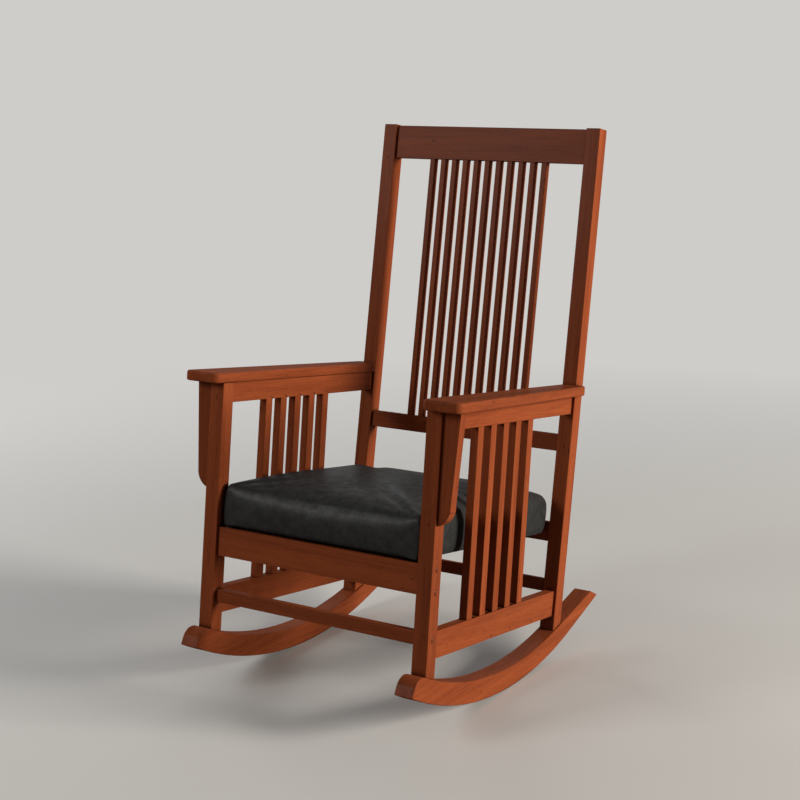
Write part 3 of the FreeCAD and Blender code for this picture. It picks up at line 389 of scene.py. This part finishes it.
def cushion_block():
    """The cushion before it fills out: straight sides, rounded top edges and a low crown.

    A section is the outline's inset at the sides, in front and at the back, and its height.
    """
    sections = [(0.004, 0.006, 0.004, 0.0), (0.0015, 0.003, 0.0015, 0.010), (0.0, 0.001, 0.0, 0.022),
                (0.0, 0.0, -0.0015, 0.036), (0.0, 0.0010, -0.0025, 0.051), (0.0003, 0.0030, 0.0015, 0.066),
                (0.002, 0.0065, 0.011, 0.0790), (0.006, 0.0115, 0.024, 0.0865),
                (0.0125, 0.019, 0.044, cushion_edge)]
    edge_insets = sections[-1][:3]
    for share in (0.06, 0.12, 0.2, 0.3, 0.4, 0.55, 0.7, 0.85, 0.99):
        rise = cushion_crown * (1 - (1 - share) ** 2)
        insets = [start + (cushion_half - start) * share for start in edge_insets]
        sections.append((*insets, cushion_edge + rise))
    shape = bmesh.new()
    rings = [[shape.verts.new(point) for point in cushion_outline(*section)] for section in sections]
    for lower, upper in zip(rings, rings[1:]):
        for n in range(len(lower)):
            shape.faces.new((lower[n - 1], lower[n], upper[n], upper[n - 1]))
    shape.faces.new(reversed(rings[0]))
    shape.faces.new(rings[-1])
    bmesh.ops.recalc_face_normals(shape, faces=shape.faces)
    mesh = bpy.data.meshes.new("seat_cushion")
    shape.to_mesh(mesh)
    shape.free()
    return mesh


def settled(piece):
    """A copy of a piece's mesh with its modifiers worked in."""
    shown = piece.evaluated_get(bpy.context.evaluated_depsgraph_get())
    return bpy.data.meshes.new_from_object(shown)


cushion = bpy.data.objects.new("seat_cushion", cushion_block())
bpy.context.scene.collection.objects.link(cushion)
even = cushion.modifiers.new("even_skin", "REMESH")
even.mode = "VOXEL"
even.voxel_size = 0.005
cushion_mesh = settled(cushion)
cushion.modifiers.clear()
cushion.data = cushion_mesh
unfilled = [vertex.co.copy() for vertex in cushion_mesh.vertices]

# The foam pushes the cover out against its stapled edge, which stays where it is.
most_swell = 0.009
swell_shares = Vector((0.3, 0.4, 1.0))
stapled_height = 0.006
corner_reach, corner_hold = 0.014, 0.85
stuffing_steps = 20
held = cushion.vertex_groups.new(name="held_places")
for n, point in enumerate(unfilled):
    inside = min(point.y - cushion_front, cushion_rear - point.y)
    if point.z < cushion_low + stapled_height:
        held.add([n], 1.0, "REPLACE")
    elif max(cushion_half - abs(point.x), inside) < corner_reach:
        held.add([n], corner_hold, "REPLACE")
cover = cushion.modifiers.new("stuffing", "CLOTH")
cover.settings.quality = 6
cover.settings.mass = 0.35
cover.settings.tension_stiffness = 22
cover.settings.compression_stiffness = 22
cover.settings.shear_stiffness = 10
cover.settings.bending_stiffness = 2.5
cover.settings.vertex_group_mass = held.name
cover.settings.use_pressure = True
cover.settings.uniform_pressure_force = 4
cover.settings.effector_weights.gravity = 0
cover.point_cache.frame_start, cover.point_cache.frame_end = 1, stuffing_steps
for step in range(1, stuffing_steps + 1):
    bpy.context.scene.frame_set(step)
cushion_mesh = settled(cushion)
cushion.modifiers.clear()
cushion.data = cushion_mesh
bpy.context.scene.frame_set(1)

for vertex, start in zip(cushion_mesh.vertices, unfilled):
    swell = vertex.co - start
    if swell.length > 0:
        swell *= most_swell * math.tanh(swell.length / most_swell) / swell.length
    vertex.co = start + swell * swell_shares
cushion_mesh.transform(seat_place)
for face in cushion_mesh.polygons:
    face.use_smooth = True
cushion.modifiers.new("smooth_skin", "SUBSURF").levels = 1

hide_dark, hide_light = (0.0210, 0.0213, 0.0207, 1), (0.0320, 0.0323, 0.0315, 1)
pebble_stir = (0.0016, 0.0016, 0.0016)
hide, tree, surface = new_material("black_hide", Specular_IOR_Level=0.0, Coat_Roughness=0.36)
place = object_place(tree)
stir = add_node(tree, "ShaderNodeTexNoise", {"Vector": place, "Scale": 260.0, "Detail": 2.0})
pebble_place = add_node(tree, "ShaderNodeVectorMath", {0: stir.outputs["Color"], 1: pebble_stir, 2: place},
                        operation="MULTIPLY_ADD")
pebbles = add_node(tree, "ShaderNodeTexVoronoi", {"Vector": pebble_place.outputs[0], "Scale": 620.0})
patches = speckle(tree, place, 60.0, 6.0, Roughness=0.72)
creases = speckle(tree, place, 14.0, 3.0, Distortion=0.8)
patch = between(tree, patches, 0.36, 0.66)
tree.links.new(blend_colours(tree, patch, hide_dark, hide_light), surface.inputs["Base Color"])
tree.links.new(math_node(tree, "MULTIPLY_ADD", patch, -0.16, 0.58), surface.inputs["Roughness"])
tree.links.new(math_node(tree, "MULTIPLY_ADD", patch, 0.12, 0.17), surface.inputs["Coat Weight"])
relief = math_node(tree, "MULTIPLY", patches, 1.2)
relief = math_node(tree, "MULTIPLY_ADD", pebbles.outputs["Distance"], 0.5, relief)
relief = math_node(tree, "MULTIPLY_ADD", creases, 2.0, relief)
roughen(tree, surface, relief, 0.5, 0.0012)
cushion_mesh.materials.clear()
cushion_mesh.materials.append(hide)
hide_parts("seat_cover", "seat_foam")
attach(cushion, "root")

# A thin black cloth closes the seat from below. It is stapled flat to the board inside the strips and
# hangs down a little in the middle.
cloth_half, cloth_front, cloth_rear, cloth_high = 0.2080, -0.2052, 0.2525, 0.2935
cloth_thickness = 0.0008
cloth_sag = 0.0035
shape = bmesh.new()
columns, rows = 24, 26
grid = []
for row in range(rows + 1):
    for column in range(columns + 1):
        across, back = 2 * column / columns - 1, 2 * row / rows - 1
        sag = cloth_sag * (1 - across ** 2) * (1 - back ** 2)
        y = cloth_front + (back + 1) / 2 * (cloth_rear - cloth_front)
        grid.append(shape.verts.new((across * cloth_half, y, cloth_high - sag)))
for row in range(rows):
    for column in range(columns):
        n = row * (columns + 1) + column
        shape.faces.new((grid[n], grid[n + 1], grid[n + columns + 2], grid[n + columns + 1]))
cloth_mesh = bpy.data.meshes.new("underside_cloth")
shape.to_mesh(cloth_mesh)
shape.free()
cloth_mesh.transform(seat_place)
for face in cloth_mesh.polygons:
    face.use_smooth = True
underside = bpy.data.objects.new("underside_cloth", cloth_mesh)
bpy.context.scene.collection.objects.link(underside)
body = underside.modifiers.new("cloth_body", "SOLIDIFY")
body.thickness = cloth_thickness
body.offset = -1
felt_dark, felt_light = (0.012, 0.012, 0.012, 1), (0.028, 0.028, 0.029, 1)
felted, tree, surface = new_material("felted_cloth", Sheen_Weight=0.3)
place = object_place(tree)
hairs = speckle(tree, place, 900.0, 4.0)
dimples = add_node(tree, "ShaderNodeTexVoronoi", {"Vector": place, "Scale": 420.0}).outputs["Distance"]
tone = blend_colours(tree, between(tree, hairs, 0.35, 0.65), felt_dark, felt_light)
tree.links.new(tone, surface.inputs["Base Color"])
tree.links.new(math_node(tree, "MULTIPLY_ADD", hairs, 0.2, 0.75), surface.inputs["Roughness"])
roughen(tree, surface, dimples, 0.6, 0.0005)
cloth_mesh.materials.append(felted)
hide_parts("dust_cover")
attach(underside, "root")

# The chair stands on a plain pale floor that runs out of sight, under soft light: a strong broad lamp
# on the viewer's right, weak ones in front and on the left, a window's light from behind and an even sky.
background = (0.62, 0.61, 0.59, 1)
paint_dark, paint_light = (0.66, 0.645, 0.62, 1), (0.69, 0.675, 0.65, 1)
thrown_back = (0.24, 0.18, 0.13, 1)
haze_start, haze_full = 1.3, 3.6
floor_radius = 40


def looked_at(tree):
    """1 for what is seen, straight, in a gloss or through glass, and 0 for light that falls on the chair."""
    rays = tree.nodes.new("ShaderNodeLightPath").outputs
    return math_node(tree, "MAXIMUM", rays["Is Camera Ray"],
                     math_node(tree, "MAXIMUM", rays["Is Glossy Ray"], rays["Is Transmission Ray"]))


shape = bmesh.new()
bmesh.ops.create_circle(shape, cap_ends=True, segments=96, radius=floor_radius)
floor_mesh = bpy.data.meshes.new("floor")
shape.to_mesh(floor_mesh)
shape.free()
floor = bpy.data.objects.new("floor", floor_mesh)
floor.location.z = -0.0005
bpy.context.scene.collection.objects.link(floor)
pale_floor, tree, surface = new_material("pale_floor", Roughness=0.75, Specular_IOR_Level=0.2)
shown = looked_at(tree)
place = object_place(tree)
paint = blend_colours(tree, speckle(tree, place, 1.3, 3.0), paint_dark, paint_light)
tree.links.new(blend_colours(tree, shown, thrown_back, paint), surface.inputs["Base Color"])
far = add_node(tree, "ShaderNodeVectorMath", {0: place}, operation="LENGTH").outputs["Value"]
distance = math_node(tree, "MULTIPLY", between(tree, far, haze_start, haze_full), shown)
haze = add_node(tree, "ShaderNodeEmission", {"Color": background, "Strength": 1.0}).outputs[0]
joined = add_node(tree, "ShaderNodeMixShader", {0: distance, 1: surface.outputs[0], 2: haze})
tree.links.new(joined.outputs[0], tree.nodes["Material Output"].inputs["Surface"])
floor_mesh.materials.append(pale_floor)

sky = bpy.data.worlds.new("even_sky")
bpy.context.scene.world = sky
sky.use_nodes = True
tree = sky.node_tree
even_light = tree.nodes["Background"]
even_light.inputs["Color"].default_value = (0.92, 0.96, 1.0, 1)
even_light.inputs["Strength"].default_value = 0.10
seen = add_node(tree, "ShaderNodeBackground", {"Color": background, "Strength": 1.0})
joined = add_node(tree, "ShaderNodeMixShader",
                  {0: looked_at(tree), 1: even_light.outputs[0], 2: seen.outputs[0]})
tree.links.new(joined.outputs[0], tree.nodes["World Output"].inputs["Surface"])


def soft_lamp(name, place, aim, width, height, watts, colour):
    """A broad lamp that shines from a place to an aim."""
    lamp = bpy.data.lights.new(name, "AREA")
    lamp.shape = "RECTANGLE"
    lamp.size, lamp.size_y, lamp.energy, lamp.color = width, height, watts, colour
    holder = bpy.data.objects.new(name, lamp)
    holder.location = place
    holder.visible_camera = False
    holder.rotation_euler = (Vector(aim) - Vector(place)).to_track_quat("-Z", "Y").to_euler()
    bpy.context.scene.collection.objects.link(holder)


chair_middle = (0, 0, 0.5)
soft_lamp("right_lamp", (5.6, 1.5, 1.75), chair_middle, 1.9, 1.9, 475, (1.0, 0.94, 0.86))
soft_lamp("front_lamp", (-2.1, -3.0, 2.3), chair_middle, 1.4, 1.4, 50, (1.0, 0.98, 0.95))
soft_lamp("left_lamp", (-4.2, 1.4, 1.7), chair_middle, 2.0, 2.0, 60, (0.95, 0.98, 1.0))
soft_lamp("window_light", (-2.0, 3.6, 1.9), chair_middle, 2.2, 1.4, 16, (0.93, 0.97, 1.0))

# The camera stands at the photograph's place in front of the chair, on the side of its left arm.
camera_tip, camera_turn = math.radians(10.021), math.radians(32.248)
camera_data = bpy.data.cameras.new("camera")
camera_data.sensor_width = 36
camera_data.lens = 73.76
camera_data.shift_x = -0.0056
camera_data.shift_y = -0.05
camera = bpy.data.objects.new("camera", camera_data)
camera.location = (1.7395, -2.7402, 1.2054)
camera.rotation_euler = (math.pi / 2 - camera_tip, 0, camera_turn)
bpy.context.scene.collection.objects.link(camera)
bpy.context.scene.camera = camera
bpy.context.scene.view_settings.view_transform = "Standard"
